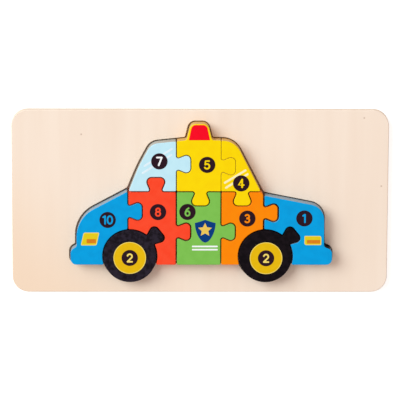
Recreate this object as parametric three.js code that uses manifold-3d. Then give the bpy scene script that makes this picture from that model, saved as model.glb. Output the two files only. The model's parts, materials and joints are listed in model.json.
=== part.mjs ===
// A wooden car puzzle: a plywood tray with a car-shaped recess, and ten thick blocks that interlock in it
// and stand proud of it. Millimetres. +X runs along the tray to the car's boot, +Y to its roof, +Z up.
// The origin is the middle of the tray's underside.

import * as THREE from 'three';
import { mergeVertices } from 'three/addons/utils/BufferGeometryUtils.js';
import Module from 'manifold-3d';

// Tray: a frame with the cut-out, glued on a thin backing. The borders are the wood left round the car.
const borderFront = 46.6;
const borderRear = 44.25;
const borderTop = 9.35;
const borderBottom = 10.05;
const trayCornerRadius = 13;
const backingThickness = 3;
const frameThickness = 5;
const trayEdgeEase = 0.8;

// How the blocks lie: the slack round them in the recess, and how far they are pushed to the rear in it.
const recessClearance = 0.65;
const blocksPush = 0.35;

// Blocks: sawn from one board, so neighbours share a saw line and lie one kerf apart.
const blockThickness = 16;
const sawKerf = 0.8;
const blockEdgeEase = 0.3;
const sawnCornerRadius = 1.2;

// Dovetail tab. Its widths are at the sharp corners, before the neck and the head are rounded.
const tabLength = 11.5;
const tabRootWidth = 8.3;
const tabHeadWidth = 17.9;
const tabNeckRadius = 1.6;
const tabHeadRadius = 3.7;

// The car's length, and the shares of it that its blocks take from the front bumper on. The boot takes
// what they leave, up to the rear bumper.
const carLength = 209.15;
const frontBumperShare = 0.023;
const bonnetShare = 0.1976;
const frontDoorShare = 0.184;
const middleDoorShare = 0.1696;
const rearDoorShare = 0.1624;
const rearBumperShare = 0.0309;

// Lower body: its height from the sill, which is its straight bottom edge, to the waist seam. The bumpers
// rise from the sill, the bonnet ends a little above the waist, and the nose and the boot fall from it.
const lowerBodyHeight = 59.7;
const bumperHeight = 12.6;
const bumperNotchRise = 2.6;
const noseDrop = 21.3;
const bonnetSeamRise = 0.8;
const bootSeamDrop = 2.7;
const bootEdgeDrop = 12.3;

// Cabin, above the waist seam that parts it from the lower body. Its corners fall a little from the roof.
const cabinHeight = 41.6;
const windscreenFoot = 0.1;
const windscreenRun = 18.1;
const windscreenTopDrop = 2.9;
const windscreenBow = 1.35;
const rearWindowFoot = 1.9;
const rearWindowRun = 21;
const rearWindowTopDrop = 0.3;

// Beacon on the roof.
const beaconFromSeam = 18.1;
const beaconFootWidth = 20.9;
const beaconTopWidth = 14.5;
const beaconHeight = 13.05;

// Rounding of the car's outline.
const bumperRadius = 5;
const bumperNotchRadius = 2;
const noseRadius = 26;
const windscreenTopRadius = 10.5;
const windscreenBowRadius = 130;
const beaconTopRadius = 5.5;
const beaconFootRadius = 2;
const rearWindowTopRadius = 16;
const bootEdgeRadius = 13;
const recessHollowRadius = 4;

// Wheels: their middle above the sill and behind the seam over them, and the lug that hooks each one in.
const wheelRadius = 21.6;
const wheelAboveSill = 7.35;
const wheelBehindSeam = 1.5;
const lugDegrees = 39;
const lugStandOut = 10;
const lugNeckRadius = 1;

// Where the tabs sit, as shares: down the lower body from the waist, up the cabin from the waist, and
// along the door under or over the tab.
const bonnetTabShare = 0.269;
const doorTabShare = 0.5445;
const rearDoorTabShare = 0.2857;
const windscreenTabShare = 0.5362;
const roofTabShare = 0.4952;
const doorToWindscreenShare = 0.5781;
const roofToDoorShare = 0.5424;
const rearWindowToDoorShare = 0.4956;

// Arcs are drawn with chords that leave the true curve by no more than this. Two arcs at the ends of one
// side leave at least the second length of it straight.
const chordError = 0.03;
const sideLeft = 0.3;

// Finish of the painted tops and of the bare wood.
const paintRoughness = 0.45;
const woodRoughness = 0.7;
const plywood = 0xf0dcc0;
const paint = {
  blue: 0x0a9ade,
  black: 0x231e28,
  red: 0xf0482e,
  paleBlue: 0xc2e6f2,
  yellow: 0xfbd200,
  green: 0x7dbd52,
  orange: 0xfb8a08,
};

// Places worked out from the sizes above.
const wheelDrop = wheelRadius - wheelAboveSill;
const carHeight = wheelDrop + lowerBodyHeight + cabinHeight + beaconHeight;
const trayLength = borderFront + carLength + borderRear;
const trayWidth = borderBottom + carHeight + borderTop;
const trayThickness = backingThickness + frameThickness;

const frontDoorLength = frontDoorShare * carLength;
const middleDoorLength = middleDoorShare * carLength;
const rearDoorLength = rearDoorShare * carLength;
const frontX = borderFront - trayLength / 2;
const rearX = frontX + carLength;
const noseX = frontX + frontBumperShare * carLength;
const bonnetSeamX = noseX + bonnetShare * carLength;
const frontDoorSeamX = bonnetSeamX + frontDoorLength;
const middleDoorSeamX = frontDoorSeamX + middleDoorLength;
const bootSeamX = middleDoorSeamX + rearDoorLength;
const tailX = rearX - rearBumperShare * carLength;

const sillY = borderBottom + wheelDrop - trayWidth / 2;
const waistY = sillY + lowerBodyHeight;
const roofY = waistY + cabinHeight;
const wheelY = sillY + wheelAboveSill;
const windscreenHeight = cabinHeight - windscreenTopDrop;
const windscreenFootX = bonnetSeamX + windscreenFoot;
const rearWindowFootX = bootSeamX - rearWindowFoot;
const beaconX = frontDoorSeamX + beaconFromSeam;

// An outline is a run of corners, each with the radius that rounds it. A radius of 0 leaves it sharp.
function corner(x, y, radius = sawnCornerRadius) {
  return { at: new THREE.Vector2(x, y), radius };
}

function reversed(run) {
  return [...run].reverse();
}

// The points of an arc, both ends among them, as close together as the chord error asks.
function arcPoints(centre, radius, from, to) {
  const widestStep = 2 * Math.acos(1 - chordError / radius);
  const steps = Math.max(2, Math.ceil(Math.abs(to - from) / widestStep));
  return new THREE.ArcCurve(centre.x, centre.y, radius, from, to, to < from).getPoints(steps);
}

// Joins corners into a shape. Each corner is rounded by the arc that is tangent to its two sides. Where
// two arcs want more of the side between them than it has, both shrink to share it.
function roundedShape(corners) {
  const previous = (i) => (i + corners.length - 1) % corners.length;
  const next = (i) => (i + 1) % corners.length;
  const toward = (i, j) => corners[j].at.clone().sub(corners[i].at).normalize();
  const halfAngles = corners.map((_, i) => toward(i, previous(i)).angleTo(toward(i, next(i))) / 2);
  const reaches = corners.map(({ radius }, i) => radius / Math.tan(halfAngles[i]));
  const room = (i, j) => corners[i].at.distanceTo(corners[j].at) - sideLeft;
  const share = (i, j) => Math.min(1, room(i, j) / (reaches[i] + reaches[j]));

  const points = corners.flatMap(({ at, radius }, i) => {
    if (radius === 0) {
      return [at];
    }
    const back = toward(i, previous(i));
    const ahead = toward(i, next(i));
    const reach = reaches[i] * Math.min(share(i, previous(i)), share(i, next(i)));
    const fitted = reach * Math.tan(halfAngles[i]);
    const bisector = back.clone().add(ahead).normalize();
    const centre = at.clone().addScaledVector(bisector, fitted / Math.sin(halfAngles[i]));
    const start = at.clone().addScaledVector(back, reach).sub(centre).angle();
    const turn = (Math.PI - 2 * halfAngles[i]) * Math.sign(ahead.cross(back));
    return arcPoints(centre, fitted, start, start + turn);
  });
  return new THREE.Shape(points);
}

// The four corners of a tab that stands out at an angle from its root, in the order of a walk that has
// the tab on its left.
function tabCorners(x, y, outAngle, neckRadius = tabNeckRadius) {
  const out = new THREE.Vector2(Math.cos(outAngle), Math.sin(outAngle));
  const along = new THREE.Vector2(out.y, -out.x);
  const place = (forward, sideways, radius) => {
    const at = new THREE.Vector2(x, y).addScaledVector(out, forward).addScaledVector(along, sideways);
    return { at, radius };
  };
  return [
    place(0, -tabRootWidth / 2, neckRadius),
    place(tabLength, -tabHeadWidth / 2, tabHeadRadius),
    place(tabLength, tabHeadWidth / 2, tabHeadRadius),
    place(0, tabRootWidth / 2, neckRadius),
  ];
}

const toRear = 0;
const toRoof = Math.PI / 2;
const toSill = -Math.PI / 2;

// Seams that run down from the roof or the waist, and the waist seam itself, from front to rear.
const bonnetSeamTab = tabCorners(bonnetSeamX, waistY - bonnetTabShare * lowerBodyHeight, toRear);
const doorTabY = waistY - doorTabShare * lowerBodyHeight;
const frontDoorSeam = [
  corner(frontDoorSeamX, waistY),
  ...tabCorners(frontDoorSeamX, doorTabY, toRear),
  corner(frontDoorSeamX, sillY),
];
const middleDoorSeam = [
  corner(middleDoorSeamX, waistY),
  ...tabCorners(middleDoorSeamX, doorTabY, toRear),
  corner(middleDoorSeamX, sillY),
];
const bootSeamTab = tabCorners(bootSeamX, waistY - rearDoorTabShare * lowerBodyHeight, toRear);
const windscreenSeamTab = tabCorners(frontDoorSeamX, waistY + windscreenTabShare * cabinHeight, toRear);
const roofSeamTab = tabCorners(middleDoorSeamX, waistY + roofTabShare * cabinHeight, toRear);
const doorToWindscreen = tabCorners(
  bonnetSeamX + doorToWindscreenShare * frontDoorLength, waistY, toRoof);
const roofToDoor = reversed(tabCorners(
  frontDoorSeamX + roofToDoorShare * middleDoorLength, waistY, toSill));
const rearWindowToDoor = reversed(tabCorners(
  middleDoorSeamX + rearWindowToDoorShare * rearDoorLength, waistY, toSill));

// The roof line rises from the windscreen to the beacon and falls a little behind it.
const windscreenTop = corner(
  windscreenFootX + windscreenRun, waistY + windscreenHeight, windscreenTopRadius);
const rearWindowTop = corner(
  rearWindowFootX - rearWindowRun, roofY - rearWindowTopDrop, rearWindowTopRadius);

// The windscreen isn't straight: its middle stands out a little from the line between foot and top.
const windscreenSlope = new THREE.Vector2(windscreenRun, windscreenHeight).normalize();
const windscreenMiddle = corner(
  windscreenFootX + windscreenRun / 2 - windscreenBow * windscreenSlope.y,
  waistY + windscreenHeight / 2 + windscreenBow * windscreenSlope.x,
  windscreenBowRadius);
const beacon = [
  corner(beaconX - beaconFootWidth / 2, roofY, beaconFootRadius),
  corner(beaconX - beaconTopWidth / 2, roofY + beaconHeight, beaconTopRadius),
  corner(beaconX + beaconTopWidth / 2, roofY + beaconHeight, beaconTopRadius),
  corner(beaconX + beaconFootWidth / 2, roofY, beaconFootRadius),
];

function betweenAt(x, a, b) {
  return THREE.MathUtils.mapLinear(x, a.at.x, b.at.x, a.at.y, b.at.y);
}

const roofFrontY = betweenAt(frontDoorSeamX, windscreenTop, beacon[0]);
const roofRearY = betweenAt(middleDoorSeamX, beacon[3], rearWindowTop);

// The ends of the car, from the sill up.
const bonnetEnd = [
  corner(frontX, sillY, bumperRadius),
  corner(frontX, sillY + bumperHeight, bumperRadius),
  corner(noseX, sillY + bumperHeight + bumperNotchRise, bumperNotchRadius),
  corner(noseX, waistY - noseDrop, noseRadius),
];
const bootEnd = [
  corner(rearX, sillY, bumperRadius),
  corner(rearX, sillY + bumperHeight, bumperRadius),
  corner(tailX, sillY + bumperHeight + bumperNotchRise, bumperNotchRadius),
  corner(tailX, waistY - bootEdgeDrop, bootEdgeRadius),
];
const bonnetTop = corner(bonnetSeamX, waistY + bonnetSeamRise);
const bootTop = corner(bootSeamX, waistY - bootSeamDrop);

// A wheel, and the arches that its neighbours have round it. Angles are about the wheel's middle.
function wheelAt(seamX) {
  const centre = new THREE.Vector2(seamX + wheelBehindSeam, wheelY);
  const lugAngle = THREE.MathUtils.degToRad(lugDegrees);
  const root = wheelRadius + lugStandOut - tabLength;
  const lug = tabCorners(
    centre.x + root * Math.cos(lugAngle), centre.y + root * Math.sin(lugAngle), lugAngle, lugNeckRadius);

  // Each flank of the lug starts where it leaves the rim.
  const onRim = (foot, head) => {
    const flank = head.at.clone().sub(foot.at).normalize();
    const fromCentre = foot.at.clone().sub(centre);
    const along = fromCentre.dot(flank);
    const distance = Math.sqrt(along ** 2 + wheelRadius ** 2 - fromCentre.lengthSq()) - along;
    return { at: foot.at.clone().addScaledVector(flank, distance), radius: lugNeckRadius };
  };
  const lugRun = [onRim(lug[0], lug[1]), lug[1], lug[2], onRim(lug[3], lug[2])];
  const angleOf = (point) => point.clone().sub(centre).angle();
  const sillAngle = Math.asin(wheelAboveSill / wheelRadius);

  // The rim between two angles, with the end points left to the corners that join it there.
  const rim = (from, to) => arcPoints(centre, wheelRadius, from, to)
    .slice(1, -1)
    .map((point) => corner(point.x, point.y, 0));
  const rimCorner = (angle) => corner(
    centre.x + wheelRadius * Math.cos(angle), centre.y + wheelRadius * Math.sin(angle));
  const seamAngle = Math.acos(-wheelBehindSeam / wheelRadius);
  const upperNeck = angleOf(lugRun[0].at);
  const lowerNeck = angleOf(lugRun[3].at);
  return {
    outline: [...lugRun, ...rim(lowerNeck, upperNeck - 2 * Math.PI)],
    seamFoot: rimCorner(seamAngle),
    frontArch: [...rim(seamAngle, Math.PI + sillAngle), rimCorner(Math.PI + sillAngle)],
    rearArch: [...rim(seamAngle, upperNeck), ...lugRun, ...rim(lowerNeck, -sillAngle),
      rimCorner(-sillAngle)],
    rimCircle: new THREE.Shape(arcPoints(centre, wheelRadius, 0, 2 * Math.PI).slice(0, -1)),
  };
}

const frontWheel = wheelAt(bonnetSeamX);
const rearWheel = wheelAt(bootSeamX);

// Every block, as the walk round it: its outer side, then the saw lines that it shares.
const blocks = [
  {
    name: 'bonnet_block',
    colour: paint.blue,
    outline: [...bonnetEnd, bonnetTop, ...bonnetSeamTab, frontWheel.seamFoot,
      ...frontWheel.frontArch],
  },
  {
    name: 'front_wheel_block',
    colour: paint.black,
    outline: frontWheel.outline,
  },
  {
    name: 'front_door_block',
    colour: paint.red,
    outline: [corner(bonnetSeamX, waistY), ...doorToWindscreen, ...frontDoorSeam,
      ...reversed(frontWheel.rearArch), frontWheel.seamFoot, ...reversed(bonnetSeamTab)],
  },
  {
    name: 'windscreen_block',
    colour: paint.paleBlue,
    outline: [corner(windscreenFootX, waistY), windscreenMiddle, windscreenTop,
      corner(frontDoorSeamX, roofFrontY),
      ...windscreenSeamTab, corner(frontDoorSeamX, waistY), ...reversed(doorToWindscreen)],
  },
  {
    name: 'roof_block',
    colour: paint.yellow,
    outline: [corner(frontDoorSeamX, roofFrontY), ...beacon, corner(middleDoorSeamX, roofRearY),
      ...roofSeamTab, corner(middleDoorSeamX, waistY), ...reversed(roofToDoor),
      corner(frontDoorSeamX, waistY), ...reversed(windscreenSeamTab)],
  },
  {
    name: 'middle_door_block',
    colour: paint.green,
    outline: [...reversed(frontDoorSeam), ...roofToDoor, ...middleDoorSeam],
  },
  {
    name: 'rear_window_block',
    colour: paint.yellow,
    outline: [corner(middleDoorSeamX, roofRearY), rearWindowTop, corner(rearWindowFootX, waistY),
      ...reversed(rearWindowToDoor), corner(middleDoorSeamX, waistY), ...reversed(roofSeamTab)],
  },
  {
    name: 'rear_door_block',
    colour: paint.orange,
    outline: [...reversed(middleDoorSeam), ...rearWindowToDoor, corner(rearWindowFootX, waistY), bootTop,
      ...bootSeamTab, rearWheel.seamFoot, ...rearWheel.frontArch],
  },
  {
    name: 'boot_block',
    colour: paint.blue,
    outline: [bootTop, ...reversed(bootEnd), ...reversed(rearWheel.rearArch), rearWheel.seamFoot,
      ...reversed(bootSeamTab)],
  },
  {
    name: 'rear_wheel_block',
    colour: paint.black,
    outline: rearWheel.outline,
  },
];

// The whole car without its wheels, for the recess. The seams' ends in the roof line let its corners be
// rounded as the blocks' are.
const carOutline = [
  ...bonnetEnd,
  corner(windscreenFootX, betweenAt(windscreenFootX, bonnetEnd.at(-1), bonnetTop), recessHollowRadius),
  windscreenMiddle,
  windscreenTop,
  corner(frontDoorSeamX, roofFrontY, 0),
  ...beacon,
  corner(middleDoorSeamX, roofRearY, 0),
  rearWindowTop,
  corner(bootSeamX, bootTop.at.y, recessHollowRadius),
  ...reversed(bootEnd),
];

// A prism between two heights whose edges are eased, and whose sides stand off the outline by growth.
function easedPrism(shape, bottom, top, ease, growth) {
  const geometry = new THREE.ExtrudeGeometry(shape, {
    depth: top - bottom - 2 * ease,
    bevelThickness: ease,
    bevelSize: ease,
    bevelOffset: growth - ease,
    bevelSegments: ease > 0 ? 1 : 0,
  });
  return geometry.translate(0, 0, bottom + ease);
}

// Boolean cuts: into a closed solid and back to a geometry.
const wasm = await Module();
wasm.setup();

function solidOf(geometry) {
  const bare = geometry.clone();
  bare.deleteAttribute('normal');
  bare.deleteAttribute('uv');
  const merged = mergeVertices(bare);
  return new wasm.Manifold(new wasm.Mesh({
    numProp: 3,
    vertProperties: new Float32Array(merged.attributes.position.array),
    triVerts: new Uint32Array(merged.index.array),
  }));
}

function geometryOf(solid) {
  const mesh = solid.getMesh();
  const geometry = new THREE.BufferGeometry();
  geometry.setAttribute('position', new THREE.BufferAttribute(mesh.vertProperties, 3));
  geometry.setIndex(new THREE.BufferAttribute(mesh.triVerts, 1));
  return geometry;
}

// The tray is glued up first and sanded as one, so its rim is eased above and below but not at the glue
// line. It is then parted there into the backing and the frame.
const trayRim = roundedShape([
  corner(-trayLength / 2, -trayWidth / 2, trayCornerRadius),
  corner(trayLength / 2, -trayWidth / 2, trayCornerRadius),
  corner(trayLength / 2, trayWidth / 2, trayCornerRadius),
  corner(-trayLength / 2, trayWidth / 2, trayCornerRadius),
]);

function trayLayer(bottom, top) {
  const blank = solidOf(easedPrism(trayRim, 0, trayThickness, trayEdgeEase, 0));
  const layer = new THREE.BoxGeometry(2 * trayLength, 2 * trayWidth, top - bottom);
  return blank.intersect(solidOf(layer.translate(0, 0, (bottom + top) / 2)));
}

// A cutter runs past the frame above and below, so that it leaves no skin.
const cutterOverrun = 1;

function recessCutter(shape) {
  const bottom = backingThickness - cutterOverrun;
  const top = trayThickness + cutterOverrun;
  const cutter = easedPrism(shape, bottom, top, 0, recessClearance);
  return solidOf(cutter.translate(-blocksPush, 0, 0));
}

const trayFrame = trayLayer(backingThickness, trayThickness)
  .subtract(recessCutter(roundedShape(carOutline)))
  .subtract(recessCutter(frontWheel.rimCircle))
  .subtract(recessCutter(rearWheel.rimCircle));
const trayBacking = trayLayer(0, backingThickness);

const puzzle = new THREE.Group();

function addPiece(name, geometry, colour, roughness) {
  const material = new THREE.MeshStandardMaterial({ color: colour, roughness, metalness: 0 });
  const mesh = new THREE.Mesh(geometry, material);
  mesh.name = name;
  puzzle.add(mesh);
}

addPiece('tray_backing', geometryOf(trayBacking), plywood, woodRoughness);
addPiece('tray_frame', geometryOf(trayFrame), plywood, woodRoughness);
for (const { name, colour, outline } of blocks) {
  const bottom = backingThickness;
  const top = backingThickness + blockThickness;
  const geometry = easedPrism(roundedShape(outline), bottom, top, blockEdgeEase, -sawKerf / 2);
  addPiece(name, geometry, colour, paintRoughness);
}

export default puzzle;
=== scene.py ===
# %% [markdown]
# # A wooden car puzzle in its tray
# A pale plywood tray holds a car that is sawn into thick blocks. Each block is painted on top, a thin wash of
# the paint lies on its sawn sides, and numbers, lamps and hubs are printed on the paint. The packed CAD model
# gives every place and size, so the first step is to load it.

# %% Load the frame
import json
import math

import bpy
import numpy as np
from mathutils import Matrix, Vector
from mathutils.geometry import delaunay_2d_cdt


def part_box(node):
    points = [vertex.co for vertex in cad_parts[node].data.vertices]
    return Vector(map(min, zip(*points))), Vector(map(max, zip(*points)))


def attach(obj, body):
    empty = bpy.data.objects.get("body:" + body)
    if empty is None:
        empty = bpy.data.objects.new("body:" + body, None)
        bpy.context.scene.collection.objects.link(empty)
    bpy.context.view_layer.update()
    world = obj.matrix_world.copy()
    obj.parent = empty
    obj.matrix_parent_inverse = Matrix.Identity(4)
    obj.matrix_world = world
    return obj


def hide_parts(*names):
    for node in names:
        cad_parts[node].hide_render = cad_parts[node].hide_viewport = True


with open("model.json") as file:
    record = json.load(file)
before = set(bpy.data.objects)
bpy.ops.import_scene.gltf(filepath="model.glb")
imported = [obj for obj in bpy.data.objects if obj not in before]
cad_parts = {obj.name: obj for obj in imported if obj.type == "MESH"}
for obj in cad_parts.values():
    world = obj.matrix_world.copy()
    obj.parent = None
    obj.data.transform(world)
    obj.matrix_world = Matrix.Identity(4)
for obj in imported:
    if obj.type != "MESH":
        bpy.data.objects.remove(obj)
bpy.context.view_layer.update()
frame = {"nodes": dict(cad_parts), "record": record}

MM = 0.001
bodies = frame["record"]["behaviour"]["bodies"]
body_of = {node: body for body, nodes in bodies.items() for node in nodes}
block_nodes = sorted(node for node in body_of if node.endswith("_block"))
BLOCK_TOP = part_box(block_nodes[0])[1].z
TRAY_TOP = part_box("tray_frame")[1].z
print(len(block_nodes), "blocks, their tops at", round(BLOCK_TOP / MM, 2), "mm")
print("the tray's top is at", round(TRAY_TOP / MM, 2), "mm")

# %% [markdown]
# ## The camera
# The photograph looks almost straight down at the tray from far away: the camera leans a little to the
# roof's side, so that the walls along the car's upper edges just show, and a touch to the bonnet's side. It
# could be placed by eye, but two angles of lean, a roll and a scale in pixels for each metre give it exactly.
# The aim is a point near the tray's middle, which centres the picture as the photograph has it, with no lens
# shift.

# %% Camera
LEAN_TO_ROOF = math.radians(11.5)
LEAN_TO_FRONT = math.radians(0.6)
ROLL = math.radians(0.05)
DISTANCE = 2.4
PICTURE_SIDE = 400
PIXELS_PER_METRE = 1254.3
AIM = Vector((0.00005, 0.0012, 0.008))
SENSOR = 36
FAR_CLIP = 20

lean = Vector((-math.sin(LEAN_TO_FRONT), math.sin(LEAN_TO_ROOF), 0))
to_camera = lean + Vector((0, 0, math.sqrt(1 - lean.length_squared)))
level = (Vector((1, 0, 0)) - to_camera * to_camera.x).normalized()
right = Matrix.Rotation(ROLL, 3, to_camera) @ level
upward = to_camera.cross(right)

camera = bpy.data.objects.new("camera", bpy.data.cameras.new("camera"))
camera.data.sensor_width = SENSOR
camera.data.lens = PIXELS_PER_METRE * DISTANCE * SENSOR / PICTURE_SIDE
camera.data.clip_end = FAR_CLIP
facing = Matrix((right, upward, to_camera)).transposed()
camera.matrix_world = Matrix.Translation(AIM + to_camera * DISTANCE) @ facing.to_4x4()
bpy.context.scene.collection.objects.link(camera)
bpy.context.scene.camera = camera
print("camera lens", round(camera.data.lens, 1), "mm")

# %% [markdown]
# ## Meshes from arrays
# Every piece below is worked out as whole numpy arrays and put into a mesh in one go. Blender's editing tools
# would also do, but an array says in one line where all its points lie. A piece's object is at the origin, so
# its place is in its points, and it rides on the body of the block that it belongs to.

# %% A piece from points and faces
CREASE = math.radians(35)


def make_piece(name, node, points, faces, finishes, finish_of_face=None, replaces=False):
    """A mesh piece that rides with a CAD node's body. Faces shade smooth, except over edges that turn more
    than the crease angle."""
    mesh = bpy.data.meshes.new(name)
    mesh.from_pydata(np.asarray(points).reshape(-1, 3), [], faces)
    for finish in finishes:
        mesh.materials.append(finish)
    if finish_of_face is not None:
        mesh.polygons.foreach_set("material_index", np.asarray(finish_of_face, np.int32))
    mesh.polygons.foreach_set("use_smooth", np.ones(len(mesh.polygons), bool))
    mesh.set_sharp_from_angle(angle=CREASE)
    mesh.validate()
    mesh.update()
    piece = bpy.data.objects.new(name, mesh)
    bpy.context.scene.collection.objects.link(piece)
    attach(piece, body_of[node])
    if replaces:
        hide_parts(node)
    return piece


# %% [markdown]
# ## Outlines from the CAD
# A block is a prism, and its outline is already in the CAD model, with every tab and socket in its place.
# The outline could be typed in again, but reading it keeps the looks and the solids together. Triangles
# between two heights form an open patch, and the edges of the patch that only one triangle uses are its rim.

# %% Areas, edges and triangles
MERGE_DIGITS = 7


def area_of(ring):
    """The area inside a ring: half the sum of the cross products of its successive corners."""
    ahead = np.roll(ring, -1, axis=0)
    return 0.5 * (ring[:, 0] * ahead[:, 1] - ring[:, 1] * ahead[:, 0]).sum()


def open_edges(triangles):
    """Starts and ends of the edges that only one triangle uses: no other triangle runs along them the other
    way."""
    start = triangles.ravel()
    end = np.roll(triangles, -1, axis=1).ravel()
    count = triangles.max() + 1
    is_open = ~np.isin(start * count + end, end * count + start)
    return start[is_open], end[is_open]


def merged_triangles(node):
    """The points of a CAD node with the doubles merged, and its triangles as rows of three points."""
    mesh = frame["nodes"][node].data
    mesh.calc_loop_triangles()
    places = np.empty(3 * len(mesh.vertices))
    mesh.vertices.foreach_get("co", places)
    corners = np.empty(3 * len(mesh.loop_triangles), np.int32)
    mesh.loop_triangles.foreach_get("vertices", corners)
    places = np.round(places.reshape(-1, 3), MERGE_DIGITS)
    places, merged = np.unique(places, axis=0, return_inverse=True)
    return places, merged.ravel()[corners].reshape(-1, 3)


print("the tray's sheet has", len(merged_triangles("tray_frame")[1]), "triangles")

# %% Rims of a slice
HAIR = 0.01 * MM
EDGE_EASE = 0.3 * MM


def rim_loops(node, low, high):
    """The closed rims of the triangles of a node that lie between two heights, largest first, each one
    counter-clockwise seen from above. A step leads from the start of an open edge to its end, and a run of
    steps is doubled until it comes round to its start."""
    places, triangles = merged_triangles(node)
    heights = places[triangles, 2]
    patch = triangles[((heights > low - HAIR) & (heights < high + HAIR)).all(axis=1)]
    start, end = open_edges(patch)
    step = np.arange(len(places))
    step[start] = end

    loops = []
    left = np.unique(start)
    while len(left):
        run, jump = left[:1], step
        while (run == run[0]).sum() < 2:
            run, jump = np.concatenate([run, jump[run]]), jump[jump]
        run = run[:np.flatnonzero(run == run[0])[1]]
        left = np.setdiff1d(left, run)
        ring = places[run, :2]
        loops.append(ring if area_of(ring) > 0 else ring[::-1])
    return sorted(loops, key=area_of, reverse=True)


outlines = {node: rim_loops(node, BLOCK_TOP - EDGE_EASE, BLOCK_TOP)[0] for node in block_nodes}
for node, ring in outlines.items():
    print(node, len(ring), "corners,", round(area_of(ring) / MM**2), "mm2")

# %% [markdown]
# ## Shader maths
# A finish is a recipe of many small steps: a noise for the grain, a mask for where the paint ends, a sum of
# both. Wiring nodes one by one hides such a recipe, so one small class wraps a node's output and lets the
# sums be written as Python sums. Every other node goes through its one method, node.

# %% The class for shader maths
class Field:
    """Something that changes over a surface: the output of a node in a material."""

    def __init__(self, tree, socket=None):
        self.tree = tree
        self.socket = socket

    def node(self, kind, settings, inputs, output=0):
        """Adds a node of any type: its settings first, then the values or links of its sockets."""
        made = self.tree.nodes.new("ShaderNode" + kind)
        for name, value in settings.items():
            setattr(made, name, value)
        for key, value in inputs.items():
            if isinstance(value, Field):
                self.tree.links.new(value.socket, made.inputs[key])
            else:
                made.inputs[key].default_value = value
        return Field(self.tree, made.outputs[output])

    def math(self, operation, *values):
        """One operation on values, or on this field alone where none are given."""
        return self.node("Math", {"operation": operation}, dict(enumerate(values or (self,))))

    def __add__(self, other):
        return self.math("ADD", self, other)

    def __sub__(self, other):
        return self.math("SUBTRACT", self, other)

    def __rsub__(self, other):
        return self.math("SUBTRACT", other, self)

    def __mul__(self, other):
        return self.math("MULTIPLY", self, other)

    def __truediv__(self, other):
        return self.math("DIVIDE", self, other)

    __radd__ = __add__
    __rmul__ = __mul__

    def part(self, axis):
        """One of the three numbers of a vector, by its axis."""
        return self.node("SeparateXYZ", {}, {0: self}, axis)

    def times(self, factors):
        """A vector with each of its numbers times a factor of its own."""
        return self.node("VectorMath", {"operation": "MULTIPLY"}, {0: self, 1: factors})

    def distance(self, point):
        """How far a place is from a point."""
        return self.node("VectorMath", {"operation": "DISTANCE"}, {0: self, 1: point}, "Value")

    def rise(self, low, high):
        """0 below low, 1 above high, and a smooth rise between them."""
        settings = {"interpolation_type": "SMOOTHSTEP"}
        return self.node("MapRange", settings, {"Value": self, "From Min": low, "From Max": high})

    def noise(self, stretch, detail=2.0, roughness=0.5):
        """Noise from 0 to 1. Stretch is how many waves there are to a millimetre along x, y and z."""
        sockets = {"Vector": self.times(stretch), "Scale": 1.0, "Detail": detail, "Roughness": roughness}
        return self.node("TexNoise", {}, sockets)

    def blend(self, first, second):
        """The first colour where this field is 0, the second where it is 1."""
        return self.node("Mix", {"data_type": "RGBA"}, {0: self, 6: first, 7: second}, 2)


print("fields know", sum(callable(value) for value in vars(Field).values()), "operations")

# %% [markdown]
# Colours are written as a picture stores them, because they were matched to a picture, and the shader needs
# them as light. Every finish starts from the place on the object in millimetres, so that its pattern stays
# on the wood wherever a block is lifted to.

# %% Colours and new finishes
def srgb(red, green, blue):
    """A colour as a picture stores it, from 0 to 255, as the light that the shader needs."""
    share = np.array([red, green, blue]) / 255
    light = np.where(share <= 0.04045, share / 12.92, ((share + 0.055) / 1.055) ** 2.4)
    return (*light.tolist(), 1.0)


def new_finish(name, gloss):
    """A material of an even gloss, its shader, and the place on the object in millimetres as a field."""
    material = bpy.data.materials.new(name)
    material.use_nodes = True
    tree = material.node_tree
    shader = tree.nodes["Principled BSDF"]
    shader.inputs["Specular IOR Level"].default_value = gloss
    place = Field(tree).node("TexCoord", {}, {}, "Object")
    place = place.node("VectorMath", {"operation": "SCALE"}, {0: place, "Scale": 1 / MM}, "Vector")
    return material, shader, place


def wire(shader, socket, field):
    """Links a field to one of the shader's sockets."""
    field.tree.links.new(field.socket, shader.inputs[socket])


def wire_bump(shader, height, depth):
    """Bumps the surface by a height from 0 to 1, of that depth in millimetres."""
    inputs = {"Strength": 1.0, "Distance": depth * MM, "Height": height}
    wire(shader, "Normal", height.node("Bump", {}, inputs))


print("middle grey as light:", round(srgb(128, 128, 128)[0], 3))

# %% [markdown]
# ## Plywood
# The tray is pale plywood. Its face shows fine straight grain that runs across the tray, with a few pin
# knots, and its edges show the plies, whose grain turns by a right angle from each ply to the next. An image
# would be the quick way to get this, but a solid texture is cut by every face as real wood is: the layers
# come out at the rim and round the recess by themselves. Each ply is a millimetre thick.

# %% Bare plywood
PLY = 1.0
FACE_HAIR = 0.01
PIN_KNOTS = ((-94.4, 54.3), (130.2, 67.7), (144.5, 12.6))
KNOT_CORE, KNOT_RIM = 0.2, 1.1
GRAIN_ACROSS, GRAIN_ALONG = (0.11, 0.006, 0.11), (0.006, 0.11, 0.11)
PORES_ACROSS, PORES_ALONG = (6.0, 0.3, 6.0), (0.3, 6.0, 6.0)
WARM_FULL, WARM_NONE = -215.0, -75.0
WOOD_RELIEF = 0.04
PLYWOOD_GLOSS = 0.15
PALE_WOOD, TAN_WOOD, WARM_WOOD = srgb(254, 236, 219), srgb(248, 227, 208), srgb(247, 218, 190)
PORE, END_GRAIN = srgb(226, 196, 164), srgb(206, 172, 128)
GLUE, KNOT = srgb(120, 86, 56), srgb(150, 105, 70)


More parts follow.
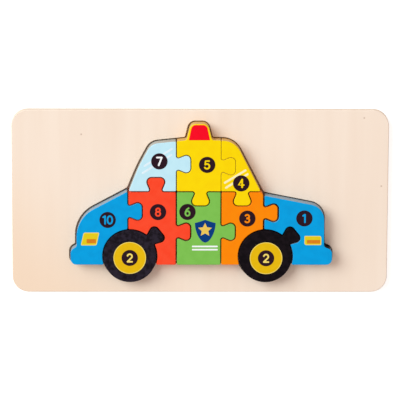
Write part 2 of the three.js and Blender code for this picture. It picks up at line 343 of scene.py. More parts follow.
def plywood_finish():
    """Pale wood in plies. The height in plies has a whole part, which says which way the grain runs, and a
    rest, which is small at a glue line. Darker tones lie over the pale one, each by its own mask. The sum of
    x and a little more than y says how near the tray's warmer corner is."""
    material, shader, place = new_finish("pale_plywood", PLYWOOD_GLOSS)
    plies_up = (place.part("Z") - FACE_HAIR) / PLY
    is_cross = (plies_up.math("FLOOR") * 0.5).math("FRACT") * 2
    is_along = 1 - is_cross
    grain = is_cross * place.noise(GRAIN_ACROSS, 5.0, 0.45) + is_along * place.noise(GRAIN_ALONG, 5.0, 0.45)
    pores = is_cross * place.noise(PORES_ACROSS) + is_along * place.noise(PORES_ALONG)
    cloud = place.noise((0.012, 0.006, 0.02))

    normal = place.node("NewGeometry", {}, {}, "Normal")
    facing_x = normal.part("X").math("ABSOLUTE")
    facing_y = normal.part("Y").math("ABSOLUTE")
    side = (facing_x + facing_y).rise(0.7, 1.0)
    end_grain = (is_cross * facing_y + is_along * facing_x) * side
    glue_line = (1 - plies_up.math("FRACT").rise(0.0, 0.14)) * side
    warm = 1 - (place.part("X") + 1.1 * place.part("Y")).rise(WARM_FULL, WARM_NONE)
    knot_places = [(x, y, TRAY_TOP / MM) for x, y in PIN_KNOTS]
    knots = sum(1 - place.distance(knot).rise(KNOT_CORE, KNOT_RIM) for knot in knot_places)

    colour = (0.4 * grain + 0.6 * cloud).rise(0.25, 0.75).blend(PALE_WOOD, TAN_WOOD)
    colour = (warm * 0.8).blend(colour, WARM_WOOD)
    colour = (pores.rise(0.6, 0.85) * 0.1).blend(colour, PORE)
    colour = (end_grain * 0.3).blend(colour, END_GRAIN)
    colour = (glue_line * 0.35).blend(colour, GLUE)
    colour = (knots * 0.45).blend(colour, KNOT)
    wire(shader, "Base Color", colour)
    wire(shader, "Roughness", 0.52 + 0.16 * pores)
    wire_bump(shader, grain * 0.5 + pores * 0.5, WOOD_RELIEF)
    return material


plywood = plywood_finish()
print(plywood.name, len(plywood.node_tree.nodes), "nodes")

# %% [markdown]
# ## The tray
# The tray is a sheet with the car cut out of it, glued on a thin backing, and then sanded as one: its rim is
# rounded above and below, and the edge of the recess is only broken. A bevel tool could round these edges,
# but a rounded profile carried round an outline says directly what sandpaper does.

# %% A profile carried round an outline
ROUND_STEPS = 5
LAND = 0.05 * MM


def mitres(ring):
    """How far each corner moves when the sides move out by one: the sum of the outward normals of its two
    sides, over one plus their dot product."""
    side = np.roll(ring, -1, axis=0) - ring
    normal = np.stack([side[:, 1], -side[:, 0]], axis=1) / np.linalg.norm(side, axis=1, keepdims=True)
    before = np.roll(normal, 1, axis=0)
    return (normal + before) / (1 + (normal * before).sum(axis=1, keepdims=True))


def inset(ring, depths):
    """A ring moved inward by each of the depths, every corner along its mitre."""
    return ring - np.asarray(depths)[:, None, None] * mitres(ring)


def carried(ring, depths, heights):
    """Points (i, j): corner j of the ring, moved inward by depth i and lifted to height i."""
    flat = inset(ring, depths)
    lifted = np.broadcast_to(np.asarray(heights)[:, None, None], (*flat.shape[:2], 1))
    return np.concatenate([flat, lifted], axis=2)


def wall_faces(rows, columns):
    """Quads between successive rows of a grid that closes on itself along its columns."""
    i = np.arange(rows - 1)[:, None] * columns
    j = np.arange(columns)[None, :]
    ahead = (j + 1) % columns
    return np.stack([i + j, i + ahead, i + columns + ahead, i + columns + j], axis=-1).reshape(-1, 4)


def rounded_edge(radius):
    """Depths and heights of a quarter round from the wall up to the flat top, measured from the sharp edge,
    and a narrow land on the flat, which keeps the shading of the flat face even."""
    angle = np.linspace(0, math.pi / 2, ROUND_STEPS + 1)
    depths = radius * (1 - np.cos(angle))
    heights = radius * (np.sin(angle) - 1)
    return np.append(depths, radius + LAND), np.append(heights, 0.0)


print("a rounded edge has", len(rounded_edge(MM)[0]), "rows of points")

# %% [markdown]
# The flat faces between outlines are filled with triangles. One polygon with a slit in it would do for the
# tray, but the prints below need shapes that cross each other, so the plane is cut along all the outlines at
# once, and a table says which triangle lies in which shape.

# %% Shapes in the plane
MERGE_DISTANCE = 2e-3


def flattened(lists):
    """All the entries of some lists in one row, how many each list has, and where each list starts."""
    counts = np.fromiter(map(len, lists), int)
    return np.concatenate(lists).astype(int), counts, np.cumsum(counts) - counts


def planar(polygons):
    """Cuts overlapping polygons into triangles that don't overlap. Gives the points, the triangles, a table
    of which triangle lies in which polygon, and for each point the first corner that it came from."""
    corners = np.concatenate(polygons) / MM
    ends = np.cumsum([len(polygon) for polygon in polygons])
    faces = [run.tolist() for run in np.split(np.arange(len(corners)), ends[:-1])]
    cut = delaunay_2d_cdt(corners.tolist(), [], faces, 1, MERGE_DISTANCE)
    points, _, triangles, from_corners, _, in_faces = cut
    points = np.array(points) * MM
    triangles = np.array(triangles)
    owners, counts, _ = flattened(in_faces)
    table = np.zeros((len(triangles), len(polygons)), bool)
    table[np.repeat(np.arange(len(triangles)), counts), owners] = True
    origins, counts, starts = flattened(from_corners)
    source = np.full(len(points), -1)
    source[counts > 0] = origins[starts[counts > 0]]

    edge_a = points[triangles[:, 1]] - points[triangles[:, 0]]
    edge_b = points[triangles[:, 2]] - points[triangles[:, 0]]
    turned = edge_a[:, 0] * edge_b[:, 1] - edge_a[:, 1] * edge_b[:, 0] < 0
    triangles[turned] = triangles[turned][:, ::-1]
    return points, triangles, table, source


print("the roof's top is cut into", len(planar([outlines["roof_block"]])[1]), "triangles")

# %% [markdown]
# The sheet has two profiles, one round its rim and one round the recess, which is turned outside in. The
# backing is a plain sheet. Both could be one piece, but the real tray is glued from two.

# %% The sheet and its backing
RIM_ROUND = 0.8 * MM
RECESS_ROUND = 0.4 * MM
BACKING_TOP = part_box("tray_backing")[1].z


def frame_sheet():
    """The frame: a rounded profile round the tray's rim, another round the recess, and flat faces between."""
    rim, recess = rim_loops("tray_frame", BACKING_TOP, BACKING_TOP)
    depths, heights = rounded_edge(RIM_ROUND)
    outer = carried(rim, np.append(0, depths), np.append(BACKING_TOP, TRAY_TOP + heights))
    depths, heights = rounded_edge(RECESS_ROUND)
    inner = carried(recess, np.append(0, -depths), np.append(BACKING_TOP, TRAY_TOP + heights))
    points = np.concatenate([outer.reshape(-1, 3), inner.reshape(-1, 3)])

    shift = outer.shape[0] * outer.shape[1]
    faces = wall_faces(*outer.shape[:2]).tolist()
    faces += (wall_faces(*inner.shape[:2])[:, ::-1] + shift).tolist()
    for row, order in ((0, -1), (-1, 1)):
        _, triangles, table, source = planar([outer[row, :, :2], inner[row, :, :2]])
        corner = source[triangles[table[:, 0] & ~table[:, 1]]]
        in_outer = corner < outer.shape[1]
        at_outer = corner + (row % outer.shape[0]) * outer.shape[1]
        at_inner = corner - outer.shape[1] + shift + (row % inner.shape[0]) * inner.shape[1]
        faces += np.where(in_outer, at_outer, at_inner)[:, ::order].tolist()
    return make_piece("tray_sheet", "tray_frame", points, faces, [plywood], replaces=True)


def capped(ring, depths, heights):
    """Points and faces of a solid: a profile carried round a ring from below, closed by two flat faces."""
    points = carried(ring, depths, heights)
    rows, columns = points.shape[:2]
    ends = [list(range(columns))[::-1], list(range((rows - 1) * columns, rows * columns))]
    return points, wall_faces(rows, columns).tolist() + ends


def backing_sheet():
    """The backing: its lower rim is rounded, and its upper rim is sharp at the glue line."""
    rim = rim_loops("tray_backing", BACKING_TOP, BACKING_TOP)[0]
    depths, heights = rounded_edge(RIM_ROUND)
    points, faces = capped(rim, np.append(depths[::-1], 0), np.append(-heights[::-1], BACKING_TOP))
    return make_piece("tray_floor", "tray_backing", points, faces, [plywood], replaces=True)


for piece in (frame_sheet(), backing_sheet()):
    print(piece.name, len(piece.data.polygons), "faces")

# %% [markdown]
# ## Painted blocks
# A block is sawn from pale, close-grained wood. Its top is painted in one flat, satin colour, and the paint is
# only thinly washed over the sawn sides, which stay duller. Their tones are also darker as painted shade of
# the side walls. Two materials could do this, but they would meet in a ruled line, so one material has a mask
# between the two: the height, made a little uneven by noise.
# Under the paint the grain still shows as a faint relief, and the colour is not quite even, as a roller leaves
# it. Over the rear bumper, the boot's side wall in its tight inner corner is darkened: a painted shadow.

# %% Paint on sawn wood
EDGE_ROUND = 0.5 * MM
PAINT_DEPTH = 0.35
PAINT_FADE = 0.2
SATIN = 0.08
# Painted shadow over the rear bumper: its inner corner, the radius where it is full, where it ends, its dark
# tone.
SHADOW_CORNER = (100.6, -33.6)
SHADOW_CORE, SHADOW_RIM = 3.0, 8.0
SHADOW_TONE = srgb(28, 20, 20)
BROWN_WOOD, DRY_WOOD = srgb(150, 116, 84), srgb(226, 206, 176)


def washed_shaded_wood(place, wash_and_shade):
    """Colour and grain of sawn wood thinly washed with paint, whose tone also holds painted shade of the walls.
    The grain runs along the tray, faces across it are darker, and the thin coat is uneven where the brush
    dragged."""
    rings = place.noise((0.02, 0.55, 0.55), 3.0, 0.55)
    fibres = place.noise(PORES_ALONG)
    drag = place.noise((0.9, 0.9, 0.1), 3.0, 0.6)
    normal = place.node("NewGeometry", {}, {}, "Normal")
    end_grain = normal.part("X").math("ABSOLUTE").rise(0.5, 1.0)
    brown = rings * 0.3 + fibres.rise(0.5, 0.8) * 0.2 + end_grain * 0.15
    return (drag.rise(0.45, 0.75) * 0.3).blend(brown.blend(wash_and_shade, BROWN_WOOD), DRY_WOOD), fibres


def painted_finish(name, paint, shade, wash_and_shade, has_painted_shadow=False):
    """A painted top over thinly washed sides, which also hold painted shade of the walls. Shade is the paint's
    darker tone, where the coat is thicker.
    A side with a painted shadow is dark near its inner corner, where the boot's own body shades it."""
    material, shader, place = new_finish(name, SATIN)
    side, fibres = washed_shaded_wood(place, wash_and_shade)
    # Painted shadow: the side darkens towards the inner corner over the rear bumper.
    if has_painted_shadow:
        from_corner = place.times((1, 1, 0)).distance((*SHADOW_CORNER, 0))
        side = from_corner.rise(SHADOW_CORE, SHADOW_RIM).blend(SHADOW_TONE, side)
    ragged = place.noise((0.8, 0.8, 0.8), 3.0, 0.6)
    paint_foot = BLOCK_TOP / MM - PAINT_DEPTH
    top = (place.part("Z") + PAINT_FADE * ragged).rise(paint_foot, paint_foot + PAINT_FADE)

    roller = place.noise((0.16, 0.16, 0.16))
    stipple = place.noise((2.4, 2.4, 2.4), 2.0, 0.6)
    colour = (roller.rise(0.3, 0.75) * 0.6 + stipple * 0.15).blend(paint, shade)
    wire(shader, "Base Color", top.blend(side, colour))
    wire(shader, "Roughness", 0.66 - top * (0.26 - 0.1 * stipple))
    wire_bump(shader, fibres * (1 - 0.75 * top) + stipple * top * 0.3, WOOD_RELIEF)
    return material


# The third tone of each is the colour of its washed sides, darkened as painted shade of the side walls.
blue_tones = srgb(0, 164, 230), srgb(0, 152, 217), srgb(150, 178, 198)
yellow_tones = srgb(255, 221, 0), srgb(252, 212, 0), srgb(232, 187, 110)
pale_blue_tones = srgb(199, 239, 251), srgb(191, 232, 246), srgb(191, 196, 191)
red_tones = srgb(255, 78, 46), srgb(252, 66, 34), srgb(240, 74, 42)
green_tones = srgb(129, 197, 85), srgb(121, 189, 77), srgb(124, 156, 82)
orange_tones = srgb(255, 141, 0), srgb(255, 132, 0), srgb(246, 128, 16)
yellow = painted_finish("yellow_paint", *yellow_tones)
block_finishes = {
    "bonnet_block": painted_finish("blue_paint", *blue_tones),
    # The boot's sides carry a painted shadow in the corner over the rear bumper.
    "boot_block": painted_finish("shadowed_blue_paint", *blue_tones, has_painted_shadow=True),
    "roof_block": yellow,
    "rear_window_block": yellow,
    "windscreen_block": painted_finish("pale_blue_paint", *pale_blue_tones),
    "front_door_block": painted_finish("red_paint", *red_tones),
    "middle_door_block": painted_finish("green_paint", *green_tones),
    "rear_door_block": painted_finish("orange_paint", *orange_tones),
}
print(len(block_finishes), "painted blocks")

# %% [markdown]
# The wheels are stained black right through, with a little dust in the pores. A black paint would hide the
# wood, but stain lets the fibres show, so the black comes in two tones with a soft cloud between them. The
# rear wheel's black is darker than the front one's.

# %% Stain on the wheels
STAIN_GLOSS = 0.1
DUST = srgb(92, 86, 96)


def stained_finish(name, stain, shade):
    """Black stain all round. The fibres stay visible as a faint sheen, with pale dust in a few pores."""
    material, shader, place = new_finish(name, STAIN_GLOSS)
    fibres = place.noise(PORES_ALONG)
    cloud = place.noise((0.28, 0.28, 0.28), 4.0, 0.65)
    dust = place.noise((1.1, 1.1, 1.1), 4.0, 0.75)
    colour = cloud.rise(0.36, 0.64).blend(shade, stain)
    wire(shader, "Base Color", (dust.rise(0.64, 0.8) * 0.4).blend(colour, DUST))
    wire(shader, "Roughness", 0.4 + 0.2 * fibres)
    wire_bump(shader, fibres, WOOD_RELIEF)
    return material


block_finishes["front_wheel_block"] = stained_finish("black_stain", srgb(40, 33, 46), srgb(16, 9, 18))
block_finishes["rear_wheel_block"] = stained_finish("deep_black_stain", srgb(20, 11, 18), srgb(6, 1, 6))
print(len({f.name for f in block_finishes.values()}), "finishes for", len(block_finishes), "blocks")

# %% [markdown]
# ## Seams
# The seams aren't all alike: some neighbours lie a little closer together than others, and paint narrows the
# saw cut between them. Blocks could be shifted for this, but then the seam on their other side would open.
# So only the corners of an outline that lie along such a neighbour move outward by a hair, or inward where
# the seam is wider. The move fades out where the two outlines part.

# %% Narrow and wide seams
SEAM_CLOSES = {
    ("roof_block", "rear_window_block"): 0.26 * MM,
    ("windscreen_block", "roof_block"): 0.08 * MM,
    ("rear_door_block", "boot_block"): -0.2 * MM,
    ("front_door_block", "middle_door_block"): -0.08 * MM,
}
SEAM_REACH = 1.0 * MM
SEAM_STEP = 0.3 * MM


def stepped(ring):
    """Points at even steps along a ring: its corners are read off at equal parts of the way round."""
    closed = np.vstack([ring, ring[:1]])
    way = np.append(0, np.cumsum(np.linalg.norm(np.diff(closed, axis=0), axis=1)))
    places = np.arange(0, way[-1], SEAM_STEP)
    return np.column_stack([np.interp(places, way, closed[:, axis]) for axis in (0, 1)])


def closed_up(ring, neighbour, growth):
    """A ring moved outward along its mitres by the growth: in full where the neighbour is within the reach, and
    not at all from twice the reach on."""
    apart = np.linalg.norm(ring[:, None] - stepped(neighbour)[None], axis=2).min(axis=1)
    share = np.clip(2 - apart / SEAM_REACH, 0, 1)
    return ring + growth * share[:, None] * mitres(ring)


fitted = dict(outlines)
for (first, second), growth in SEAM_CLOSES.items():
    fitted[first] = closed_up(fitted[first], outlines[second], growth)
    fitted[second] = closed_up(fitted[second], outlines[first], growth)
    print(first, second, "closer by", round(2 * growth / MM, 2), "mm")

# %% [markdown]
# The gap to the recess is narrower along the roof and the boot, because the car lies towards that side. The
# same move serves here, but only its part towards the roof's side counts.

# %% The gap along the roof
ROOF_GAP_CLOSES = {
    "roof_block": 0.3 * MM,
    "windscreen_block": 0.2 * MM,
    "rear_window_block": 0.15 * MM,
    "boot_block": 0.15 * MM,
}
recess_ring = rim_loops("tray_frame", BACKING_TOP, BACKING_TOP)[1]
for node, growth in ROOF_GAP_CLOSES.items():
    grown = closed_up(fitted[node], recess_ring, growth)
    fitted[node] = np.column_stack([fitted[node][:, 0], np.maximum(fitted[node][:, 1], grown[:, 1])])
    print(node, "closer to the roof's side by", round(growth / MM, 2), "mm")

# %% [markdown]
# ## The blocks
# The blocks themselves are these outlines, with one profile carried round all of them: a small round below,
# the straight saw cut, and the same round above. Extruding the outline and bevelling it would also do, but a
# bevel fails in the tight necks of the tabs.

# %% Sanded blocks
def sanded_block(node):
    """A block: from the flat underside round the lower edge, up the saw cut and round the upper edge."""
    bottom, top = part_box(node)[0].z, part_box(node)[1].z
    depths, heights = rounded_edge(EDGE_ROUND)
    profile = np.append(depths[::-1], depths), np.append(bottom - heights[::-1], top + heights)
    points, faces = capped(fitted[node], *profile)
    name = node.replace("_block", "_sanded")
    return make_piece(name, node, points, faces, [block_finishes[node]], replaces=True)


for node in block_nodes:
    piece = sanded_block(node)
    print(piece.name, len(piece.data.polygons), "faces")

# %% [markdown]
# ## Printing inks
# The signs on the blocks are screen printed: a thin, opaque film of ink lies on the paint. A plain colour
# would nearly do, because ink is more even than paint. A fine stipple from the screen and a slightly drier
# gloss set it off.

# %% Ink
INK_RELIEF = 0.006


def ink_finish(name, colour, shade):
    """Two tones of an ink, mixed by half a fine stipple and half a soft cloud."""
    material, shader, place = new_finish(name, SATIN)
    screen = place.noise((3.5, 3.5, 3.5), 2.0, 0.6)
    cloud = place.noise((0.35, 0.35, 0.35))
    wire(shader, "Base Color", (0.5 * screen + 0.5 * cloud).rise(0.3, 0.7).blend(colour, shade))
    wire(shader, "Roughness", 0.42 + 0.16 * screen)
    wire_bump(shader, screen, INK_RELIEF)
    print(name, len(material.node_tree.nodes), "nodes")
    return material


dark_ink = ink_finish("dark_ink", srgb(46, 22, 34), srgb(38, 16, 28))
white_ink = ink_finish("white_ink", srgb(252, 253, 253), srgb(244, 247, 249))
glint_ink = ink_finish("glint_ink", srgb(230, 245, 252), srgb(222, 241, 250))
streak_ink = ink_finish("streak_ink", srgb(255, 247, 205), srgb(255, 240, 178))
red_ink = ink_finish("red_ink", srgb(253, 6, 38), srgb(246, 3, 32))
hub_ink = ink_finish("hub_ink", srgb(236, 191, 12), srgb(229, 182, 6))
pale_yellow_ink = ink_finish("pale_yellow_ink", srgb(250, 226, 120), srgb(246, 219, 104))
lamp_ink = ink_finish("lamp_ink", srgb(232, 209, 30), srgb(226, 200, 20))
amber_ink = ink_finish("amber_ink", srgb(226, 134, 32), srgb(215, 122, 20))
navy_ink = ink_finish("navy_ink", srgb(2, 62, 132), srgb(0, 54, 122))
gold_ink = ink_finish("gold_ink", srgb(243, 205, 96), srgb(236, 196, 84))

# %% [markdown]
# ## Films of ink
# A film is a flat shape with hardly any thickness. Painting it in the material would also do, but a thin
# solid keeps its edge crisp from any distance. The plane is cut into triangles along all the outlines of a
# sign at once, and each ink takes its own triangles, so that inks lie side by side and don't overlap.

# %% Film solids
FILM = 0.05 * MM
SUNK = 0.03 * MM


def film(points, triangles, bottom, top):
    """A closed plate: the triangles at the top, the same ones turned over at the bottom, and walls along the
    edges that only one triangle uses. Gives its points, triangles and wall quads."""
    used, triangles = np.unique(triangles, return_inverse=True)
    triangles = triangles.reshape(-1, 3)
    flat, lift = points[used], len(used)
    shell = np.concatenate([np.column_stack([flat, np.full(lift, z)]) for z in (bottom, top)])
    a, b = open_edges(triangles)
    walls = np.stack([a, b, b + lift, a + lift], axis=1)
    return shell, np.concatenate([triangles[:, ::-1], triangles + lift]), walls


def print_sign(name, node, layers, level=0.0):
    """One printed piece. Layers are pairs of an ink and (points, triangles); level lifts it over other ink."""
    points, faces, inks, finish_of_face = np.empty((0, 3)), [], [], []
    for ink, (flat, triangles) in layers:
        shell, plates, walls = film(flat, triangles, BLOCK_TOP + level - SUNK, BLOCK_TOP + level + FILM)
        faces += (plates + len(points)).tolist() + (walls + len(points)).tolist()
        points = np.concatenate([points, shell])
        if ink not in inks:
            inks.append(ink)
        finish_of_face += [inks.index(ink)] * (len(plates) + len(walls))
    make_piece(name, node, points, faces, inks, finish_of_face)
    print(name, len(faces), "faces")


def cut_out(layers):
    """Splits stacked shapes among their inks: later layers hide earlier ones. Each layer is an ink, or None
    for an opening, and its polygons."""
    polygons = [polygon for _, group in layers for polygon in group]
    points, triangles, table, _ = planar(polygons)
    owner = np.full(len(triangles), -1)
    first = 0
    for index, (_, group) in enumerate(layers):
        owner[table[:, first:first + len(group)].any(axis=1)] = index
        first += len(group)
    return [
        (ink, (points, triangles[owner == index]))
        for index, (ink, _) in enumerate(layers)
        if ink is not None and (owner == index).any()
    ]


print("films are", round((FILM + SUNK) / MM, 2), "mm thick")

# %% [markdown]
# ## Numbers
# Each block has its number in a dark disc. On most blocks the number isn't printed: the disc is left open
# there, and the block's own paint shows through. Where other ink lies below the disc, the number is filled. A
# font would do, but the plump, round-ended figures are easily drawn with a pen: strips of even width carried
# along arcs and lines, with a round end at each tip.

# %% A pen for figures
PEN = 1.38 * MM
FINE_PEN = 1.3 * MM
ARC_POINTS = 25
TIP_POINTS = 24


def circle(x, y, radius, count):
    """A ring of points round a centre."""
    angle = np.linspace(0, 2 * math.pi, count, endpoint=False)
    return np.column_stack([x + radius * np.cos(angle), y + radius * np.sin(angle)])


def arc(x, y, radius, start, end, squash=1.0):
    """Points on an arc from one angle to another, in degrees. Squash narrows it along x."""
    angle = np.radians(np.linspace(start, end, ARC_POINTS))
    return np.column_stack([x + squash * radius * np.cos(angle), y + radius * np.sin(angle)])


def stroke(path, width):
    """Quads of a strip along a path, half the width to each side of it, and a round end at both tips."""
    path = np.asarray(path, float)
    along = np.gradient(path, axis=0)
    along /= np.linalg.norm(along, axis=1, keepdims=True)
    aside = 0.5 * width * np.column_stack([-along[:, 1], along[:, 0]])
    left_edge, right_edge = path + aside, path - aside
    quads = np.stack([right_edge[:-1], right_edge[1:], left_edge[1:], left_edge[:-1]], axis=1)
    return [*quads, *(circle(*tip, width / 2, TIP_POINTS) for tip in path[[0, -1]])]


FIGURES = {
    "0": [arc(0, 0, 3.1, 90, 450, 0.62)],
    "1": [[(0.45, 3.05), (0.45, -3.1)], [(0.45, 3.05), (-1.0, 2.2)]],
    "2": [np.vstack([arc(0, 1.3, 1.8, 165, -38), [(-1.75, -3.0)]]), [(-1.75, -3.1), (1.9, -3.1)]],
    "3": [arc(-0.15, 1.5, 1.55, 145, -90), arc(-0.15, -1.35, 1.75, 90, -145)],
    "4": [[(0.75, 3.1), (-2.0, -1.3), (1.95, -1.3)], [(0.75, 3.1), (0.75, -3.1)]],
    "5": [[(1.55, 3.1), (-1.25, 3.1), (-1.5, 0.25)], arc(-0.15, -1.15, 1.95, 133, -150)],
    "6": [arc(0.05, -1.2, 1.9, 90, 450, 0.88), arc(3.18, -1.2, 4.8, 180, 118)],
    "7": [[(-1.9, 3.1), (1.9, 3.1)], [(1.9, 3.1), (-0.5, -3.1)]],
    "8": [arc(0, 1.55, 1.5, 90, 450), arc(0, -1.35, 1.75, 90, 450)],
}
print("the pen draws", len(FIGURES), "figures")

# %% [markdown]
# A number is one figure, or two side by side. Its strokes are cut out of the disc as the last layer, so the
# film under them is left open, or takes the number's own ink.

# %% Discs with numbers
DISC_RADIUS = 6.5 * MM
DISC_POINTS = 64
FIGURE_OFFSETS = {1: (0,), 2: (-2.5, 1.75)}


def figure_strokes(text, x, y, pen):
    """The strokes of a number of one or two figures, centred on a point."""
    return [
        quad
        for figure, offset in zip(text, FIGURE_OFFSETS[len(text)])
        for path in FIGURES[figure]
        for quad in stroke(np.asarray(path, float) * MM + (x + offset * MM, y), pen)
    ]


def number_sign(node, text, x, y, ink=None, level=0.0, pen=PEN):
    """A number's disc at a place in millimetres. The figures are open, or filled with their own ink."""
    x, y = x * MM, y * MM
    disc = circle(x, y, DISC_RADIUS, DISC_POINTS)
    layers = cut_out([(dark_ink, [disc]), (ink, figure_strokes(text, x, y, pen))])
    print_sign(node.replace("_block", "_number"), node, layers, level)


print("number discs are", round(2 * DISC_RADIUS / MM, 1), "mm across")

# %% [markdown]
# Wheels come first: a hub is a flat yellow disc with a paler line at its rim, and the wheel's number lies on
# it. The hub could be a turned piece, but on these wheels it is only printed. Both carry the same number.

# %% Hubs and numbers
HUB_RADIUS = 12.95 * MM
HUB_LINE = 0.5 * MM
HUB_POINTS = 96
for node, x, y in (("front_wheel_block", -55.9, -43.7), ("rear_wheel_block", 52.7, -43.9)):
    rims = ((pale_yellow_ink, HUB_RADIUS), (hub_ink, HUB_RADIUS - HUB_LINE))
    hub = [(ink, [circle(x * MM, y * MM, radius, HUB_POINTS)]) for ink, radius in rims]
    print_sign(node.replace("_block", "_hub"), node, cut_out(hub))
    number_sign(node, "2", x, y, pale_yellow_ink, FILM, FINE_PEN)

number_sign("bonnet_block", "10", -73.4, -12.8)
number_sign("front_door_block", "8", -33.4, -6.4)
number_sign("windscreen_block", "7", -32.35, 34.6, white_ink, FILM)
number_sign("roof_block", "5", 5.5, 31.8)
number_sign("middle_door_block", "6", -10.0, -6.25)
number_sign("rear_window_block", "4", 32.55, 16.9, yellow, FILM)
number_sign("rear_door_block", "3", 37.6, -11.6)
number_sign("boot_block", "1", 82.95, -11.45)

# %% [markdown]
# ## Lamps and beacon
# The lamps and the beacon are plain printed shapes with straight sides and softened corners. Such a shape
# could be drawn as a curve, but it is only an arc at each corner, and the arcs of all the corners can be
# worked out at once.

# %% Softened polygons
CORNER_STEPS = 8


def softened(corners, radius):
    """A convex polygon, counter-clockwise, with an arc at each corner: the arc's centre is the corner moved
    inward by the radius, and the arc turns from one side's normal to the next one's. One radius serves all
    the corners, or each has its own."""
    corners = np.asarray(corners, float) * MM
    radius = np.broadcast_to(np.asarray(radius, float) * MM, len(corners))[:, None]
    centres = corners - radius * mitres(corners)
    side = np.roll(corners, -1, axis=0) - corners
    angle = np.arctan2(-side[:, 0], side[:, 1])
    before = np.roll(angle, 1)
    swing = (angle - before) % (2 * math.pi)
    turn = before[:, None] + swing[:, None] * np.linspace(0, 1, CORNER_STEPS + 1)
    spokes = radius[:, None] * np.stack([np.cos(turn), np.sin(turn)], axis=2)
    return (centres[:, None] + spokes).reshape(-1, 2)


def lamp_sign(node, body, body_round, bar, bar_round, line):
    """A lamp: a yellow body with a paler line round it, and an amber bar in its lower part."""
    whole = softened(body, body_round)
    layers = [
        (pale_yellow_ink, [whole]),
        (lamp_ink, [inset(whole, [line * MM])[0]]),
        (amber_ink, [softened(bar, bar_round)]),
    ]
    print_sign(node.replace("_block", "_lamp"), node, cut_out(layers))


lamp_sign(
    "bonnet_block",
    body=[(-94.8, -33.5), (-82.3, -33.5), (-80.1, -23.1), (-92.5, -23.1)],
    body_round=(0.7, 1.5, 0.7, 1.7),
    bar=[(-90.2, -31.8), (-82.7, -31.8), (-82.7, -28.4), (-90.2, -28.4)],
    bar_round=0.4,
    line=0.6,
)
lamp_sign(
    "boot_block",
    body=[(83.2, -33.1), (96.6, -33.1), (96.6, -25.7), (83.2, -25.7)],
    body_round=(1.6, 0.8, 1.6, 0.7),
    bar=[(85.2, -31.9), (95.7, -31.9), (95.7, -29.0), (85.2, -29.0)],
    bar_round=0.5,
    line=0.5,
)
beacon = softened([(-9.05, 51.6), (7.75, 51.6), (5.15, 63.8), (-6.45, 63.8)], (0.4, 0.4, 3.6, 3.6))
print_sign("roof_beacon", "roof_block", cut_out([(red_ink, [beacon])]))

# %% [markdown]
# ## Glints
# Two slanting streaks on each window stand for light on glass. A glossy finish would give real glints, but
# these are printed, in a paler tone of each window's paint. The pen that draws the figures draws them too.

# %% Glints on the windows
GLINT = 1.6 * MM


def glint_sign(node, ink, lines):
    """Slanting streaks of even width, from the lower end of each line to the upper."""
    strips = [quad for line in lines for quad in stroke(np.asarray(line) * MM, GLINT)]
    print_sign(node.replace("_block", "_glint"), node, cut_out([(ink, strips)]))


glint_sign("windscreen_block", glint_ink, [[(-44, 30.9), (-22.5, 44.6)], [(-45.6, 25.1), (-22.9, 39.7)]])
glint_sign("rear_window_block", streak_ink, [[(19.6, 17.4), (35.9, 27.4)], [(20.6, 13.4), (37.6, 24.3)]])

# %% [markdown]
# ## The door's badge
# The middle door carries a plain badge, a shield with a five-pointed star, over a pair of stripes. Both could
# be traced as free curves, but a rule keeps them even: the shield is a curve that is wide at the top and
# meets in a point below, and the star goes in and out between two radii.

# %% Badge and stripes
STRIPE_LEFT, STRIPE_RIGHT = -6.4, 14.2
HALF_STRIPE = 0.65
STRIPE_ROUND = 0.6
STRIPE_HEIGHTS = (-34.3, -36.9)


def shield(x, y, half_width, height, steps=24):
    """A shield: its half-width is the cosine of the way down to a power, so the sides start straight and close
    in a point, and its top edge dips towards both corners."""
    down = np.linspace(0, 1, steps)
    side = half_width * np.cos(down * math.pi / 2) ** 0.55
    right_edge = np.column_stack([x + side, y - down * height])[::-1]
    across = np.linspace(1, -1, steps)
    top_edge = np.column_stack([x + half_width * across, y + 0.16 * height * (1 - np.abs(across)) ** 1.2])
    left_edge = np.column_stack([x - side, y - down * height])
    return np.concatenate([right_edge, top_edge[1:], left_edge[1:-1]])


def star(x, y, radius, hollow=0.48):
    """A five-pointed star with one point up: ten corners that go in and out between two radii."""
    angle = math.pi / 2 + np.arange(10) * math.pi / 5
    reach = np.where(np.arange(10) % 2 == 0, radius, hollow * radius)
    return np.column_stack([x + reach * np.cos(angle), y + reach * np.sin(angle)])


def stripe(y):
    """A straight bar with round ends: half its width lies below a height, and half above."""
    low, high = y - HALF_STRIPE, y + HALF_STRIPE
    corners = [(STRIPE_LEFT, low), (STRIPE_RIGHT, low), (STRIPE_RIGHT, high), (STRIPE_LEFT, high)]
    return softened(corners, STRIPE_ROUND)


badge = [
    (navy_ink, [shield(4.15 * MM, -15.2 * MM, 8.2 * MM, 16 * MM)]),
    (gold_ink, [star(4.0 * MM, -20.9 * MM, 5.8 * MM)]),
]
print_sign("middle_door_badge", "middle_door_block", cut_out(badge))
stripes = [stripe(y) for y in STRIPE_HEIGHTS]
print_sign("middle_door_stripes", "middle_door_block", cut_out([(white_ink, stripes)]))

# %% [markdown]
# ## Studio
# The floor is pale and takes the tray's shadow. More light would turn it white, but would bleach the paint as
# well, so it glows a little instead, and only to the camera and in reflections.

# %% Floor
FLOOR_GREY = (0.8, 0.8, 0.8, 1)
FLOOR_GLOW = 0.6
HALF_FLOOR = 4.0
FLOOR_DROP = 0.1 * MM


def glow_for_camera(tree, surface, glow):
    """Adds a glow to a surface for rays that come from the camera or from a gloss or glass."""
    start = Field(tree)
    seen = start.node("LightPath", {}, {}, "Is Camera Ray")
    for ray in ("Is Glossy Ray", "Is Transmission Ray"):
        seen = seen.math("MAXIMUM", seen, start.node("LightPath", {}, {}, ray))
    white = start.node("Emission", {}, {"Color": (1, 1, 1, 1), "Strength": glow})
    both = start.node("AddShader", {}, {0: surface, 1: white})
    return start.node("MixShader", {}, {0: seen, 1: surface, 2: both})


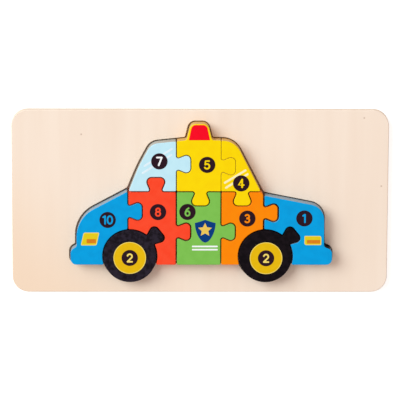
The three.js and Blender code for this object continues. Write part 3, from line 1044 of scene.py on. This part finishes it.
floor_finish = bpy.data.materials.new("floor_paper")
floor_finish.use_nodes = True
floor_tree = floor_finish.node_tree
paper = floor_tree.nodes["Principled BSDF"]
paper.inputs["Base Color"].default_value = FLOOR_GREY
paper.inputs["Roughness"].default_value = 1.0
paper.inputs["Specular IOR Level"].default_value = 0.0
seen_paper = glow_for_camera(floor_tree, Field(floor_tree, paper.outputs[0]), FLOOR_GLOW)
wire(floor_tree.nodes["Material Output"], "Surface", seen_paper)

floor_mesh = bpy.data.meshes.new("floor")
floor_points = HALF_FLOOR * np.array([(-1, -1, 0), (1, -1, 0), (1, 1, 0), (-1, 1, 0)]) - (0, 0, FLOOR_DROP)
floor_mesh.from_pydata(floor_points, [], [(0, 1, 2, 3)])
floor_mesh.materials.append(floor_finish)
floor = bpy.data.objects.new("floor", floor_mesh)
bpy.context.scene.collection.objects.link(floor)
print("floor", 2 * HALF_FLOOR, "m wide")

# %% [markdown]
# A large soft lamp stands to the upper left, as the shadows in the photograph say, and the sky fills the rest
# evenly. A small lamp would draw hard shadows. Together the two light a level surface so that a colour renders
# about as it is written. The lamp is a little cool and the sky a little warm, which warms the shadows. Where
# the camera sees the sky itself, it is white.

# %% Lamp and sky
LAMP_PLACE = Vector((-4.6, 2.9, 5.0))
LAMP_SIDE = 5.0
LAMP_TINT = (0.90, 1.03, 1.07)
LAMP_SHARE = 0.525
SKY_SHARE = 0.52
SKY_TINT = (1.10, 0.97, 0.93, 1)

lamp = bpy.data.objects.new("soft_lamp", bpy.data.lights.new("soft_lamp", "AREA"))
lamp.data.size = LAMP_SIDE
lamp.data.color = LAMP_TINT
slant = LAMP_PLACE.normalized().z
lamp.data.energy = LAMP_SHARE * math.pi**2 * LAMP_PLACE.length_squared / slant
lamp_turn = LAMP_PLACE.to_track_quat("Z", "Y").to_matrix()
lamp.matrix_world = Matrix.Translation(LAMP_PLACE) @ lamp_turn.to_4x4()
bpy.context.scene.collection.objects.link(lamp)

world = bpy.data.worlds.new("sky")
bpy.context.scene.world = world
world.use_nodes = True
background = world.node_tree.nodes["Background"]
background.inputs["Color"].default_value = SKY_TINT
seen_by_camera = Field(world.node_tree).node("LightPath", {}, {}, "Is Camera Ray")
wire(background, "Strength", seen_by_camera * (1 - SKY_SHARE) + SKY_SHARE)
bpy.context.scene.view_settings.view_transform = "Standard"
print("lamp", round(lamp.data.energy, 1), "W, sky", SKY_SHARE)

# %% [markdown]
